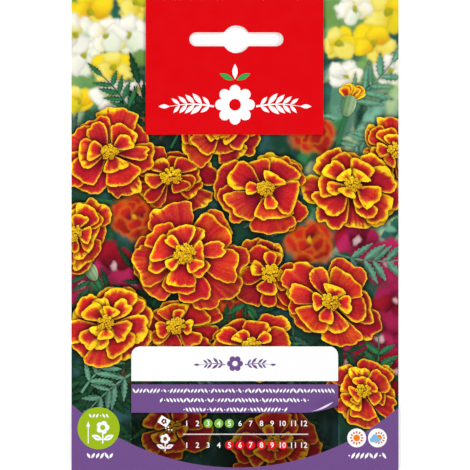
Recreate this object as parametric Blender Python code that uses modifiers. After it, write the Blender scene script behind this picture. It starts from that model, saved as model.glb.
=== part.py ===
"""Seed packet: a flat, four-side-sealed sachet of two paper laminate webs, lying on its back.

The front web is domed over the seeds and the back web sags to a flat foot. Both are welded together
along the sides, the foot and the whole header, where one hang slot is punched through the two of
them. Loose marigold seeds lie inside in crossing layers.

Metres, +Z up out of the printed front, +Y towards the header, origin under the packet's middle.
"""

import math
import random

import bmesh
import bpy
from mathutils import Matrix, Vector

MM = 0.001

# The packet, flat.
WIDTH = 118 * MM
HEIGHT = 170 * MM
WEB = 0.2 * MM
SEAL_FILM = 0.1 * MM

# The welded margins round the pocket.
SIDE_SEAL = 5 * MM
FOOT_SEAL = 8 * MM
HEAD_SEAL = 27 * MM

# The pocket's swell, at its fullest.
DOME = 2.9 * MM
SAG = 0.8 * MM
FULLEST = 0.36
FLANK_POWER = 3.2
SAG_REACH = 0.4

# The hang slot: a round-ended slot with a round middle, punched a little to the right of the middle.
SLOT_LENGTH = 34 * MM
SLOT_HEIGHT = 5 * MM
SLOT_EYE = 10 * MM
SLOT_DROP = 14.4 * MM
SLOT_X = 0.5 * MM
ARC_STEPS = 10

# The grid of each web: squares across and along the pocket, and one more for each seal.
POCKET_COLUMNS = 20
POCKET_ROWS = 26

# One seed: the dark achene and its tuft of pale scales.
ACHENE_LENGTH = 8 * MM
ACHENE_WIDTH = 0.8 * MM
ACHENE_FLATTEN = 0.75
ACHENE_SIDES = 6
ACHENE_PROFILE = [(0.3, 0.0), (0.62, 0.22), (0.95, 0.6), (1.0, 0.78), (0.7, 0.97), (0.45, 1.0)]
SCALE_LENGTH = 4.6 * MM
SCALE_WIDTH = 0.55 * MM
SCALE_THICKNESS = 0.3 * MM
SCALE_ROOT = 0.9 * MM
SCALE_FAN = math.radians(9)
SCALE_COUNT = 3
SEED_KINDS = 5

# How the seeds lie: layers of loose seeds, each resting on the one below.
LAYER_SEEDS = (22, 17, 11)
SEED_THICKNESS = ACHENE_WIDTH * ACHENE_FLATTEN
LAYER_PITCH = SEED_THICKNESS + 0.25 * MM
SEED_REST = 0.3 * MM
SEED_SPACING = 1.75 * MM
SEED_LID_ROOM = 0.35 * MM
HEAP_MIDDLE = -38 * MM
HEAP_SPREAD = 13 * MM
DRAWS = 12000
SEED_DRAW = 11

POCKET_HALF = WIDTH / 2 - SIDE_SEAL
POCKET_FOOT = -HEIGHT / 2 + FOOT_SEAL
POCKET_HEAD = HEIGHT / 2 - HEAD_SEAL
SEAL_LEVEL = SAG
SLOT_Y = HEIGHT / 2 - SLOT_DROP


def swell(x, y):
    """How full the pocket is at a point, from 0 at its seals to 1 at its fullest."""
    if abs(x) >= POCKET_HALF or not POCKET_FOOT < y < POCKET_HEAD:
        return 0.0
    across = 1 - (abs(x) / POCKET_HALF) ** FLANK_POWER
    along = (y - POCKET_FOOT) / (POCKET_HEAD - POCKET_FOOT)
    if along < FULLEST:
        return across * (1 - (1 - along / FULLEST) ** 3)
    return across * (1 + math.cos(math.pi * (along - FULLEST) / (1 - FULLEST))) / 2


def front_outer(x, y):
    """Height of the printed face of the front web."""
    return SEAL_LEVEL + 2 * WEB + SEAL_FILM + DOME * swell(x, y)


def back_outer(x, y):
    """Height of the printed face of the back web, which is 0 over its flat foot."""
    share = min(1.0, swell(x, y) / SAG_REACH)
    return SEAL_LEVEL - SAG * share * share * (3 - 2 * share)


def spread(share, half, seal_share):
    """Places grid lines from -1 to 1 so that the outermost squares are the seals."""
    if abs(share) > 1 - seal_share / 2:
        return math.copysign(1.0, share)
    return half * math.sin(math.pi / 2 * share / (1 - seal_share))


def material(name, colour, roughness):
    made = bpy.data.materials.new(name)
    made.use_nodes = True
    shader = made.node_tree.nodes["Principled BSDF"]
    shader.inputs["Base Color"].default_value = (*colour, 1)
    shader.inputs["Roughness"].default_value = roughness
    shader.inputs["Metallic"].default_value = 0
    return made


def linked(name, mesh, collection):
    made = bpy.data.objects.new(name, mesh)
    collection.objects.link(made)
    return made


def slot_outline():
    """The hang slot's outline: two round ends and a round middle, joined by straight edges."""
    end_radius = SLOT_HEIGHT / 2
    end_x = SLOT_LENGTH / 2 - end_radius
    eye_radius = SLOT_EYE / 2
    eye_angle = math.asin(end_radius / eye_radius)
    points = []
    for side in (1, -1):
        middle = 0 if side > 0 else math.pi
        arcs = (
            (end_x * side, end_radius, middle - math.pi / 2, middle + math.pi / 2),
            (0, eye_radius, middle + eye_angle, middle + math.pi - eye_angle),
        )
        for centre_x, radius, start, stop in arcs:
            for step in range(ARC_STEPS + 1):
                angle = start + (stop - start) * step / ARC_STEPS
                x = SLOT_X + centre_x + radius * math.cos(angle)
                points.append((x, SLOT_Y + radius * math.sin(angle)))
    return points


def slot_cutter(collection):
    """A punch the shape of the slot, much longer than the two webs are thick."""
    curve = bpy.data.curves.new("slot_outline", "CURVE")
    curve.dimensions = "2D"
    curve.fill_mode = "BOTH"
    curve.extrude = 5 * MM
    points = slot_outline()
    spline = curve.splines.new("POLY")
    spline.points.add(len(points) - 1)
    for point, (x, y) in zip(spline.points, points):
        point.co = (x, y, 0, 1)
    spline.use_cyclic_u = True
    outline = linked("slot_outline", curve, collection)
    bpy.context.view_layer.update()
    mesh = bpy.data.meshes.new_from_object(outline.evaluated_get(bpy.context.evaluated_depsgraph_get()))
    bpy.data.objects.remove(outline)
    welded = bmesh.new()
    welded.from_mesh(mesh)
    bmesh.ops.remove_doubles(welded, verts=welded.verts, dist=0.001 * MM)
    bmesh.ops.recalc_face_normals(welded, faces=welded.faces)
    welded.to_mesh(mesh)
    welded.free()
    cutter = linked("slot_cutter", mesh, collection)
    cutter.hide_render = True
    cutter.display_type = "WIRE"
    return cutter


def web(name, height_at, faces_up, finish, cutter, collection):
    """One web: an open sheet on its printed face, thickened inwards, with the slot punched out."""
    grid = bmesh.new()
    columns = POCKET_COLUMNS + 2
    rows = POCKET_ROWS + 2
    bmesh.ops.create_grid(grid, x_segments=columns, y_segments=rows, size=1)
    for vert in grid.verts:
        x = spread(vert.co.x, POCKET_HALF / (WIDTH / 2), 2 / columns) * WIDTH / 2
        row = (vert.co.y + 1) / 2 * rows
        pocket_share = (1 - math.cos(math.pi * (row - 1) / POCKET_ROWS)) / 2
        y = POCKET_FOOT + (POCKET_HEAD - POCKET_FOOT) * pocket_share
        if row < 0.5:
            y = -HEIGHT / 2
        if row > rows - 0.5:
            y = HEIGHT / 2
        vert.co = (x, y, height_at(x, y))
    if not faces_up:
        bmesh.ops.reverse_faces(grid, faces=grid.faces)
    mesh = bpy.data.meshes.new(name)
    grid.to_mesh(mesh)
    grid.free()
    made = linked(name, mesh, collection)
    made.data.materials.append(finish)
    solidify = made.modifiers.new("thickness", "SOLIDIFY")
    solidify.thickness = WEB
    solidify.offset = -1
    punch = made.modifiers.new("hang_slot", "BOOLEAN")
    punch.object = cutter
    punch.operation = "DIFFERENCE"
    punch.solver = "EXACT"
    return made


def achene(collection):
    """The seed's body, turned from its profile and pressed a little flat, pointing along +X."""
    profile = bmesh.new()
    radius = ACHENE_WIDTH / 2
    rings = [(0.0, 0.0), *ACHENE_PROFILE, (0.0, 1.0)]
    verts = [profile.verts.new((out * radius, 0, (1 - at) * ACHENE_LENGTH)) for out, at in rings]
    for first, second in zip(verts, verts[1:]):
        profile.edges.new((first, second))
    mesh = bpy.data.meshes.new("achene")
    profile.to_mesh(mesh)
    profile.free()
    body = linked("achene", mesh, collection)
    turn = body.modifiers.new("turn", "SCREW")
    turn.steps = ACHENE_SIDES
    turn.render_steps = ACHENE_SIDES
    turn.use_merge_vertices = True
    turn.merge_threshold = 0.001 * MM
    bpy.context.view_layer.update()
    turned = bpy.data.meshes.new_from_object(body.evaluated_get(bpy.context.evaluated_depsgraph_get()))
    lay_down = Matrix.Rotation(math.radians(-90), 4, "Y")
    turned.transform(Matrix.Diagonal((1, 1, ACHENE_FLATTEN, 1)) @ lay_down)
    bpy.data.objects.remove(body)
    return as_solid("achene_body", turned, collection)


def as_solid(name, mesh, collection):
    """The mesh as an object, welded and with its faces pointing out."""
    shape = bmesh.new()
    shape.from_mesh(mesh)
    bmesh.ops.remove_doubles(shape, verts=shape.verts, dist=0.001 * MM)
    bmesh.ops.recalc_face_normals(shape, faces=shape.faces)
    shape.to_mesh(mesh)
    shape.free()
    return linked(name, mesh, collection)


def tuft_scale(turn, tilt, length, collection):
    """One scale of the tuft: a thin blade, widest in the middle, rooted in the achene's blunt end."""
    blade = bmesh.new()
    bmesh.ops.create_cone(
        blade,
        cap_ends=True,
        segments=4,
        radius1=SCALE_WIDTH * 0.45,
        radius2=SCALE_WIDTH * 0.16,
        depth=length,
    )
    mesh = bpy.data.meshes.new("scale")
    blade.to_mesh(mesh)
    blade.free()
    flatten = Matrix.Diagonal((1, 1, SCALE_THICKNESS / SCALE_WIDTH, 1))
    along_x = Matrix.Rotation(math.radians(90), 4, "Y")
    rooted = Matrix.Translation((length / 2, 0, 0))
    aim = Matrix.Rotation(turn, 4, "Z") @ Matrix.Rotation(-tilt, 4, "Y")
    place = Matrix.Translation((-SCALE_ROOT, 0, 0))
    mesh.transform(place @ aim @ flatten @ rooted @ along_x)
    return as_solid("scale", mesh, collection)


def seed_mesh(kind, draw):
    """One kind of seed: the achene with its tuft, joined into one solid centred along its length."""
    bench = bpy.data.collections.new("seed_bench")
    bpy.context.scene.collection.children.link(bench)
    body = achene(bench)
    scales = bpy.data.collections.new("tuft")
    bench.children.link(scales)
    for number in range(SCALE_COUNT):
        turn = SCALE_FAN * (number - (SCALE_COUNT - 1) / 2) + draw.uniform(-0.03, 0.03)
        tilt = math.radians(1.5) * (-1) ** number
        length = SCALE_LENGTH * draw.uniform(0.78, 1.12)
        tuft_scale(turn, tilt, length, scales)
    union = body.modifiers.new("tuft", "BOOLEAN")
    union.operand_type = "COLLECTION"
    union.collection = scales
    union.operation = "UNION"
    union.solver = "EXACT"
    bpy.context.view_layer.update()
    mesh = bpy.data.meshes.new_from_object(body.evaluated_get(bpy.context.evaluated_depsgraph_get()))
    mesh.name = f"seed_kind_{kind + 1}"
    mesh.transform(Matrix.Translation(((ACHENE_LENGTH - SCALE_LENGTH) / 2, 0, 0)))
    for helper in list(bench.all_objects):
        bpy.data.objects.remove(helper)
    bpy.data.collections.remove(scales)
    bpy.data.collections.remove(bench)
    return mesh


def ends_of(x, y, turn):
    """The two ends of a seed that lies at (x, y), turned by an angle."""
    reach = Vector((math.cos(turn), math.sin(turn))) * (ACHENE_LENGTH + SCALE_LENGTH) / 2
    return Vector((x, y)) - reach, Vector((x, y)) + reach


def crossing(first, second):
    """Where along the first seed the second crosses it, from 0 to 1, or None."""
    a, b = first
    c, d = second
    ab, cd = b - a, d - c
    area = ab.cross(cd)
    if abs(area) < 1e-12:
        return None
    along = (c - a).cross(cd) / area
    other = (c - a).cross(ab) / area
    return along if 0 < along < 1 and 0 < other < 1 else None


def point_gap(point, seed):
    start, stop = seed
    line = stop - start
    share = max(0.0, min(1.0, (point - start).dot(line) / line.length_squared))
    return (point - start - line * share).length


def apart(first, second):
    """True if two seeds of one layer clear each other."""
    if crossing(first, second) is not None:
        return False
    gaps = [point_gap(end, second) for end in first] + [point_gap(end, first) for end in second]
    return min(gaps) > SEED_SPACING


def carried(seed, below):
    """True if seeds below hold this one on both sides of its middle."""
    places = [place for place in (crossing(seed, other) for other in below) if place is not None]
    return any(0.1 < place < 0.42 for place in places) and any(0.58 < place < 0.9 for place in places)


def under_lid(seed, top):
    """True if the front web is clear of this seed all along it, and the back web flat under it."""
    start, stop = seed
    for step in range(5):
        point = start.lerp(stop, step / 4)
        lid = front_outer(point.x, point.y) - WEB
        if lid - top < SEED_LID_ROOM or back_outer(point.x, point.y) > 0:
            return False
    return True


def seed_places(draw):
    """(x, y, height of the middle, turn) of each seed, layer on layer."""
    places = []
    below = None
    for layer, count in enumerate(LAYER_SEEDS):
        middle = WEB + SEED_REST + SEED_THICKNESS / 2 + layer * LAYER_PITCH
        level = []
        for _ in range(DRAWS):
            if len(level) == count:
                break
            x = draw.gauss(0, HEAP_SPREAD)
            y = draw.gauss(HEAP_MIDDLE, HEAP_SPREAD)
            turn = draw.uniform(0, 2 * math.pi)
            seed = ends_of(x, y, turn)
            if not under_lid(seed, middle + SEED_THICKNESS / 2):
                continue
            if below is not None and not carried(seed, below):
                continue
            if all(apart(seed, other) for other in level):
                level.append(seed)
                places.append((x, y, middle, turn))
        below = level
    return places


def build():
    for old in list(bpy.data.objects):
        bpy.data.objects.remove(old)
    packet = bpy.data.collections.new("seed_packet")
    cutters = bpy.data.collections.new("cutters")
    for collection in (packet, cutters):
        bpy.context.scene.collection.children.link(collection)
    front_finish = material("front_laminate", (0.72, 0.05, 0.02), 0.38)
    back_finish = material("back_laminate", (0.87, 0.86, 0.82), 0.42)
    seed_finish = material("seed_coat", (0.035, 0.027, 0.022), 0.7)
    cutter = slot_cutter(cutters)
    web("front_web", front_outer, True, front_finish, cutter, packet)
    web("back_web", back_outer, False, back_finish, cutter, packet)
    draw = random.Random(SEED_DRAW)
    kinds = [seed_mesh(kind, draw) for kind in range(SEED_KINDS)]
    for mesh in kinds:
        mesh.materials.append(seed_finish)
    for number, (x, y, z, turn) in enumerate(seed_places(draw)):
        seed = linked(f"seed_{number + 1:02d}", kinds[number % SEED_KINDS], packet)
        seed.location = (x, y, z)
        seed.rotation_euler = (0, 0, turn)


build()
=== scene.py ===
"""Looks of the seed packet: two printed paper webs, welded round their edges, and the seeds between them.

The print on each web is a page of flat shapes, from the lowest to the highest. The page is cut into
triangles along their outlines, each corner gets its ink from the shape that shows there, and the page is
then laid over the web's domed surface.

Page units are millimetres, x to the right and y up as the print is read. Everything else is in metres.
"""

import math
import random
from functools import partial

import bpy
import numpy as np
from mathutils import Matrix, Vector, kdtree
from mathutils.geometry import delaunay_2d_cdt


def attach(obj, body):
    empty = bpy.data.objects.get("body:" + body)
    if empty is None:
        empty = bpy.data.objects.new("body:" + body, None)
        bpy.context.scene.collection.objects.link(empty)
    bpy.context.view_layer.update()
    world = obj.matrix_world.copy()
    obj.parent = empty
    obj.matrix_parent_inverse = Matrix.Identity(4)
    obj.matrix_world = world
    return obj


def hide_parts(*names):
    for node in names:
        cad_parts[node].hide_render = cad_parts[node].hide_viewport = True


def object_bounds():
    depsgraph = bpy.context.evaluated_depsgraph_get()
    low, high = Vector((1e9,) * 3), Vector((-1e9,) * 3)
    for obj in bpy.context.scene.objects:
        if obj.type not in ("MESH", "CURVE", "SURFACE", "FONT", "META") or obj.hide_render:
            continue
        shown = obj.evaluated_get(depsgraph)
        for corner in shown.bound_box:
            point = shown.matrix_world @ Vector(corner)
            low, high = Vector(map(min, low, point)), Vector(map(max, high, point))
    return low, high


MM = 0.001

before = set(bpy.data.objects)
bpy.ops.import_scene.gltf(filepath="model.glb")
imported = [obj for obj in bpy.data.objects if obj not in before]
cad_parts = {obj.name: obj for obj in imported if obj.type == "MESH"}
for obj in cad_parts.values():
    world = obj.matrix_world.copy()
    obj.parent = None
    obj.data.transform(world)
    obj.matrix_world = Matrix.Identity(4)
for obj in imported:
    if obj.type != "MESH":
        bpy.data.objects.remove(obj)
CAD_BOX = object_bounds()

# The packet, as the CAD has it.
HALF_WIDTH = CAD_BOX[1].x / MM
HALF_HEIGHT = CAD_BOX[1].y / MM
WEB = 0.2
SEAL_FILM = 0.1
SIDE_SEAL = 5
FOOT_SEAL = 8
HEAD_SEAL = 27
DOME = 2.9
SAG = 0.8
FULLEST = 0.36
FLANK_POWER = 3.2
SAG_REACH = 0.4
SLOT_LENGTH = 34
SLOT_HEIGHT = 5
SLOT_EYE = 10
SLOT_DROP = 14.4
SLOT_X = 0.5

# A seed, in mm: the body's profile is its width along its length, from the foot.
ACHENE_LENGTH = 8
ACHENE_WIDTH = 0.8
ACHENE_FLATTEN = 0.75
ACHENE_SIDES = 12
ACHENE_RINGS = 14
ACHENE_PROFILE = ((0, 0.3), (0.22, 0.62), (0.6, 0.95), (0.78, 1), (0.97, 0.7), (1, 0.45))
SCALE_WIDTH = 0.5
SCALE_THICKNESS = 0.12
SCALE_ROOT = 0.9
SCALE_FAN = math.radians(9)

POCKET_HALF = HALF_WIDTH - SIDE_SEAL
POCKET_FOOT = -HALF_HEIGHT + FOOT_SEAL
POCKET_HEAD = HALF_HEIGHT - HEAD_SEAL
SLOT_Y = HALF_HEIGHT - SLOT_DROP

# How fine the page is cut: between points in the picture and in plain ink, round curves, along straight
# outlines, along the page's edge and round a box's corner. How near to each other two points become one,
# and how far from an outline the points of a fill stay, as a share of its step, on a print and inside.
PICTURE_STEP = 0.52
PLAIN_STEP = 3.2
EDGE_STEP = 0.5
LONGEST_STRETCH = 2.5
RIM_STEP = 1.6
CORNER_STEPS = 7
MERGE = 1e-4
PRINT_CLEARANCE, INNER_CLEARANCE = 0.45, 0.4

# How the shade under a shape dims red, green and blue: red the least.
SHADE_WARMTH = (0.92, 1.2, 1.1)

# How far a shape that runs off the page goes past it.
BLEED = 2.0

# The camera's frame, as a share of the packet's height, and how high it hangs.
FRAME_FILL = 0.9973
CAMERA_HEIGHT = 1.2

# The lamps: each one's azimuth in degrees and power in watts, and how far out, high and wide all are.
LAMPS = ((135, 4.33), (45, 3.7), (-45, 3.4), (-135, 3.7))
LAMP_OUT = 0.75
LAMP_HEIGHT = 0.62
LAMP_SIZE = 0.55

# How bright the room is at the foot of its walls, at its ceiling and under the floor.
WALLS, CEILING, UNDERSIDE = 0.48, 0.04, 1.0

# How far the floor reaches and how deep it lies under the packet, and its own faint light.
FLOOR_REACH = 1.5
FLOOR_DROP = 0.0002
FLOOR_GLOW = 0.2
FLOOR_LIGHT = (1, 1, 1, 1)

# The share of the light that bare white print gives back.
WHITE = 0.86


def smooth(low, high, value):
    """0 below low, 1 above high, and a soft step between them."""
    share = np.clip((value - low) / (high - low), 0, 1)
    return share * share * (3 - 2 * share)


def mix(first, second, share):
    """Blends two colours, or a colour for each point, by a share for each point."""
    share = np.asarray(share)[..., None]
    return np.asarray(first) * (1 - share) + np.asarray(second) * share


def ink(red, green, blue):
    """The linear colour of an ink that is seen as this sRGB colour."""
    seen = np.array((red, green, blue)) / 255
    linear = np.where(seen <= 0.04045, seen / 12.92, ((seen + 0.055) / 1.055) ** 2.4)
    return linear * WHITE


def hump(value, middle, width):
    """1 at the middle, with a soft fall to 0 over about twice the width."""
    return np.exp(-(((value - middle) / width) ** 2))


def hashed(column, row, seed):
    """A pseudo-random number from 0 to 1 for each lattice cell."""
    mixed = column.astype(np.int64) * 73856093 ^ row.astype(np.int64) * 19349663 ^ seed * 83492791
    mixed = (mixed ^ (mixed >> 13)) * 1274126177
    return ((mixed ^ (mixed >> 16)) & 0xFFFF) / 0xFFFF


def noise(x, y, seed):
    """Smooth noise from 0 to 1 with features about one unit across."""
    column, row = np.floor(x), np.floor(y)
    across, up = smooth(0, 1, x - column), smooth(0, 1, y - row)
    low = hashed(column, row, seed) * (1 - across) + hashed(column + 1, row, seed) * across
    high = hashed(column, row + 1, seed) * (1 - across) + hashed(column + 1, row + 1, seed) * across
    return low * (1 - up) + high * up


def cloud(x, y, seed):
    """Noise in three octaves, from 0 to 1."""
    total = noise(x, y, seed) * 0.57 + noise(x * 2.1, y * 2.1, seed + 1) * 0.29
    return total + noise(x * 4.3, y * 4.3, seed + 2) * 0.14


def toward(angle):
    """The unit direction at an angle, or at each angle."""
    return np.stack((np.cos(angle), np.sin(angle)), axis=-1)


def around(count, first=0.0):
    """Angles at even steps of one full turn."""
    return first + math.tau * np.arange(count) / count


def turned(points, angle):
    c, s = toward(angle)
    return np.asarray(points, float) @ np.array(((c, s), (-s, c)))


def arc(x, y, radius, start, stop, steps):
    """Points along a circle's arc, from start to stop in radians, both included."""
    return (x, y) + radius * toward(np.linspace(start, stop, steps + 1))


def disc(x, y, radius, steps=None):
    steps = steps or max(10, int(math.tau * radius / EDGE_STEP))
    return (x, y) + radius * toward(around(steps))


def box(left, foot, right, head, radii=(0, 0, 0, 0)):
    """A rectangle with the radii of its lower left, lower right, upper right and upper left corner."""
    corners = ((left, foot, 1, 1), (right, foot, -1, 1), (right, head, -1, -1), (left, head, 1, -1))
    arcs = []
    for number, ((x, y, inward_x, inward_y), radius) in enumerate(zip(corners, radii)):
        centre = (x + inward_x * radius, y + inward_y * radius)
        start = math.pi + number * math.pi / 2
        arcs.append(arc(*centre, radius, start, start + math.pi / 2, CORNER_STEPS if radius else 0))
    return np.concatenate(arcs)


def page_box(margin=0.0):
    return box(-HALF_WIDTH - margin, -HALF_HEIGHT - margin, HALF_WIDTH + margin, HALF_HEIGHT + margin)


def ribbon(way, side):
    """The outline of a line of points that reaches an offset to each side of each point."""
    outline = np.concatenate((way + side, (way - side)[::-1]))
    return outline[np.hypot(*(outline - np.roll(outline, 1, axis=0)).T) > MERGE]


def pointed(x, y, length, width, heading):
    """A pointed oval with its middle at a place."""
    share = np.linspace(0, 1, 7)
    way = np.column_stack(((share - 0.5) * length, np.zeros(7)))
    half = width / 2 * np.sin(math.pi * share)
    return turned(ribbon(way, half[:, None] * (0, 1)), heading) + (x, y)


def subdivided(points, step):
    """The same closed outline with no stretch longer than a step."""
    points = np.asarray(points, float)
    lines = np.roll(points, -1, axis=0) - points
    counts = np.maximum(1, np.ceil(np.hypot(*lines.T) / step)).astype(int)
    shares = [np.arange(count)[:, None] / count for count in counts]
    return np.concatenate([start + line * share for start, line, share in zip(points, lines, shares)])


def slot_outline():
    """The hang slot's outline, as it is punched through both webs."""
    end_radius = SLOT_HEIGHT / 2
    eye_radius = SLOT_EYE / 2
    eye_angle = math.asin(end_radius / eye_radius)
    end = arc(SLOT_LENGTH / 2 - end_radius, 0, end_radius, -math.pi / 2, math.pi / 2, 10)
    eye = arc(0, 0, eye_radius, eye_angle, math.pi - eye_angle, 14)
    half = np.concatenate((end, eye))
    return np.concatenate((half, -half)) + (SLOT_X, SLOT_Y)


def inside(points, loops):
    """Even-odd test of each point against closed loops."""
    odd = np.zeros(len(points), bool)
    x, y = points[:, 0, None], points[:, 1, None]
    for loop in loops:
        stop = np.roll(loop, -1, axis=0)
        rise = stop[:, 1] - loop[:, 1]
        spans = (loop[:, 1] > y) != (stop[:, 1] > y)
        at = loop[:, 0] + (y - loop[:, 1]) * (stop[:, 0] - loop[:, 0]) / np.where(rise == 0, 1, rise)
        odd ^= (spans & (x < at)).sum(1) % 2 == 1
    return odd


def outline_distance(points, loops):
    """How far each point lies from the nearest loop, in mm."""
    closest = np.full(len(points), np.inf)
    for loop in loops:
        line = np.roll(loop, -1, axis=0) - loop
        length = np.maximum((line**2).sum(1), 1e-12)
        away = points[:, None] - loop
        share = np.clip((away * line).sum(2) / length, 0, 1)
        gap = away - share[..., None] * line
        closest = np.minimum(closest, (gap**2).sum(2).min(1))
    return np.sqrt(closest)


def plain(colour, points):
    """Flat ink with no streaks."""
    return np.tile(colour, (len(points), 1)), np.zeros((len(points), 3))


def flat(colour):
    return partial(plain, colour)


class Shape:
    """One printed shape: its closed loops, how it is inked, and the soft shade that it throws.

    paint takes points and returns a colour and a streak for each. A veil owns no ink of its own: it
    multiplies what lies below it by its colour. fine shapes are cut into the picture's small triangles.
    """

    def __init__(self, loops, paint=None, fine=False, shade=None, veil=None):
        self.loops = [subdivided(loop, LONGEST_STRETCH) for loop in loops]
        self.paint = paint
        self.fine = fine
        self.shade = shade
        self.veil = veil
        corners = np.concatenate(self.loops)
        self.low, self.high = corners.min(0), corners.max(0)

    def near(self, points, reach=0.0):
        """Whether each point is in the shape's own box, widened by a reach."""
        return ((points >= self.low - reach) & (points <= self.high + reach)).all(1)


class Page(list):
    """The shapes of a page, from the lowest to the highest."""

    def stamp(self, colour, *loops, shade=None):
        """Adds a shape of one flat ink."""
        self.append(Shape(loops, flat(colour), shade=shade))

    def depict(self, loop, paint, *shade):
        """Adds a finely cut shape of the picture, with the reach and depth of its shade."""
        self.append(Shape([loop], paint, fine=True, shade=shade or None))


def top_shapes(points, shapes):
    """The highest shape over each point, or -1."""
    owner = np.full(len(points), -1)
    free = np.arange(len(points))
    for index in range(len(shapes) - 1, -1, -1):
        shape = shapes[index]
        if shape.veil is not None or not len(free):
            continue
        close = free[shape.near(points[free])]
        if len(close):
            owner[close[inside(points[close], shape.loops)]] = index
            free = free[owner[free] < 0]
    return owner


def on_page(points):
    return (np.abs(points) < (HALF_WIDTH, HALF_HEIGHT)).all(1)


def steps_round(loop):
    """The edges of a closed loop of indices."""
    return np.column_stack((loop, np.roll(loop, -1)))


def outlines(page, cuts):
    """Points and edges of every outline that shows, with those of the page's own cuts."""
    chains = [(loop, steps_round(np.arange(len(loop)))) for loop in cuts]
    lows, highs = np.array([shape.low for shape in page]), np.array([shape.high for shape in page])
    for index, shape in enumerate(page):
        over = np.nonzero(((lows < shape.high) & (highs > shape.low)).all(1))[0]
        upper = [page[other] for other in over if other > index]
        for loop in shape.loops:
            edges = steps_round(np.arange(len(loop)))
            hidden = top_shapes(loop, upper) >= 0
            shown = on_page(loop)[edges].any(1) & ~hidden[edges].all(1)
            chains.append((loop, edges[shown]))
    points = np.concatenate([loop for loop, _ in chains])
    starts = np.cumsum([0] + [len(loop) for loop, _ in chains])
    edges = np.concatenate([edges + start for (_, edges), start in zip(chains, starts)])
    used, edges = np.unique(edges, return_inverse=True)
    return points[used], edges.reshape(-1, 2)


def lattice(step, draw):
    """Points of a triangular lattice over the page, each moved a little at random."""
    rows = np.arange(-HALF_HEIGHT + step / 2, HALF_HEIGHT, step * math.sqrt(3) / 2)
    columns = np.arange(-HALF_WIDTH + step / 2, HALF_WIDTH - step / 2, step)
    x, y = np.meshgrid(columns, rows)
    x = x + (np.arange(len(rows)) % 2)[:, None] * step / 2
    points = np.column_stack((x.ravel(), y.ravel()))
    return points + draw.uniform(-0.2, 0.2, points.shape) * step


def nearest(points, others):
    """Which of the others lies nearest to each point, and how far away."""
    tree = kdtree.KDTree(len(others))
    for index, (x, y) in enumerate(others):
        tree.insert((x, y, 0), index)
    tree.balance()
    found = [tree.find((x, y, 0)) for x, y in points]
    return np.array([index for _, index, _ in found]), np.array([gap for _, _, gap in found])


def clear_of(points, others, gap):
    """The points that lie further than a gap from all the others."""
    return points[nearest(points, others)[1] > gap]


def triangles_of(points, edges):
    """Triangles over the points that follow the edges."""
    made = delaunay_2d_cdt([Vector(point) for point in points], edges.tolist(), [], 0, MERGE)
    return np.array([tuple(point) for point in made[0]]), np.array(made[2])


def lay_out(page, hole):
    """Cuts the page: points, triangles, their centres, and the shape that each triangle shows."""
    draw = np.random.default_rng(7)
    points, edges = outlines(page, (subdivided(page_box(), RIM_STEP), hole))
    fills = []
    for step, wanted in ((PICTURE_STEP, True), (PLAIN_STEP, False)):
        fill = lattice(step, draw)
        fits = [page[index].fine == wanted for index in top_shapes(fill, page)]
        fills.append(clear_of(fill[fits], points, step * PRINT_CLEARANCE))
    points, faces = triangles_of(np.concatenate((points, *fills)), edges)
    centres = points[faces].mean(1)
    kept = on_page(centres) & ~inside(centres, [hole])
    used, faces = np.unique(faces[kept], return_inverse=True)
    return points[used], faces.reshape(-1, 3), centres[kept], top_shapes(centres[kept], page)


def inked(page, points, faces, centres, owner):
    """Ink and streak of every corner of every triangle, from the lowest shape to the highest."""
    colour, streak = np.zeros((*faces.shape, 3)), np.zeros((*faces.shape, 3))
    for index, shape in enumerate(page):
        if shape.shade is not None:
            reach, depth = shape.shade
            below = (owner < index) & shape.near(centres, reach + PLAIN_STEP)
            corners, place = np.unique(faces[below], return_inverse=True)
            gap = outline_distance(points[corners], shape.loops)
            kept = 1 - depth * (1 - smooth(0, reach, gap))
            colour[below] *= kept[place.reshape(-1, 3, 1)] ** SHADE_WARMTH
        if shape.veil is not None:
            colour[(owner < index) & inside(centres, shape.loops)] *= shape.veil
            continue
        own = owner == index
        corners, place = np.unique(faces[own], return_inverse=True)
        if len(corners):
            hues, fibres = shape.paint(points[corners])
            colour[own], streak[own] = hues[place.reshape(-1, 3)], fibres[place.reshape(-1, 3)]
    return colour, streak


# The picture's palette.
NIGHT_GREEN = ink(20, 35, 32)
DEEP_GREEN = ink(26, 66, 48)
SLATE = ink(46, 88, 86)
LEAF_GREEN = ink(52, 122, 74)
BLUE_GREEN = ink(122, 178, 150)
PALE_GREEN = ink(186, 212, 158)
TEAL = ink(54, 128, 104)
OLIVE = ink(176, 176, 34)
SPRING_GREEN = ink(150, 192, 78)
CRIMSON = ink(178, 22, 44)
SCARLET = ink(214, 42, 28)
WINE = ink(112, 14, 34)
FLAME = ink(238, 116, 28)
GOLD = ink(252, 192, 28)
YELLOW = ink(255, 224, 34)
CREAM = ink(255, 253, 238)
PRIMROSE = ink(252, 238, 120)
MAGENTA = ink(192, 38, 92)
BURGUNDY = ink(112, 28, 50)
PINK = ink(214, 176, 178)
AMBER = ink(176, 84, 14)
UMBER = ink(120, 52, 12)

# Where the light in the picture comes from, as a direction on the page.
LIGHT = math.radians(118)

# How far the forms of the backdrop are rippled.
RIPPLE = 3.4

# A leaf's stalk and leaflets.
STALK_STEPS = 16
LEAFLET_PAIRS = 4
LEAFLET_TEETH = 6


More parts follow.
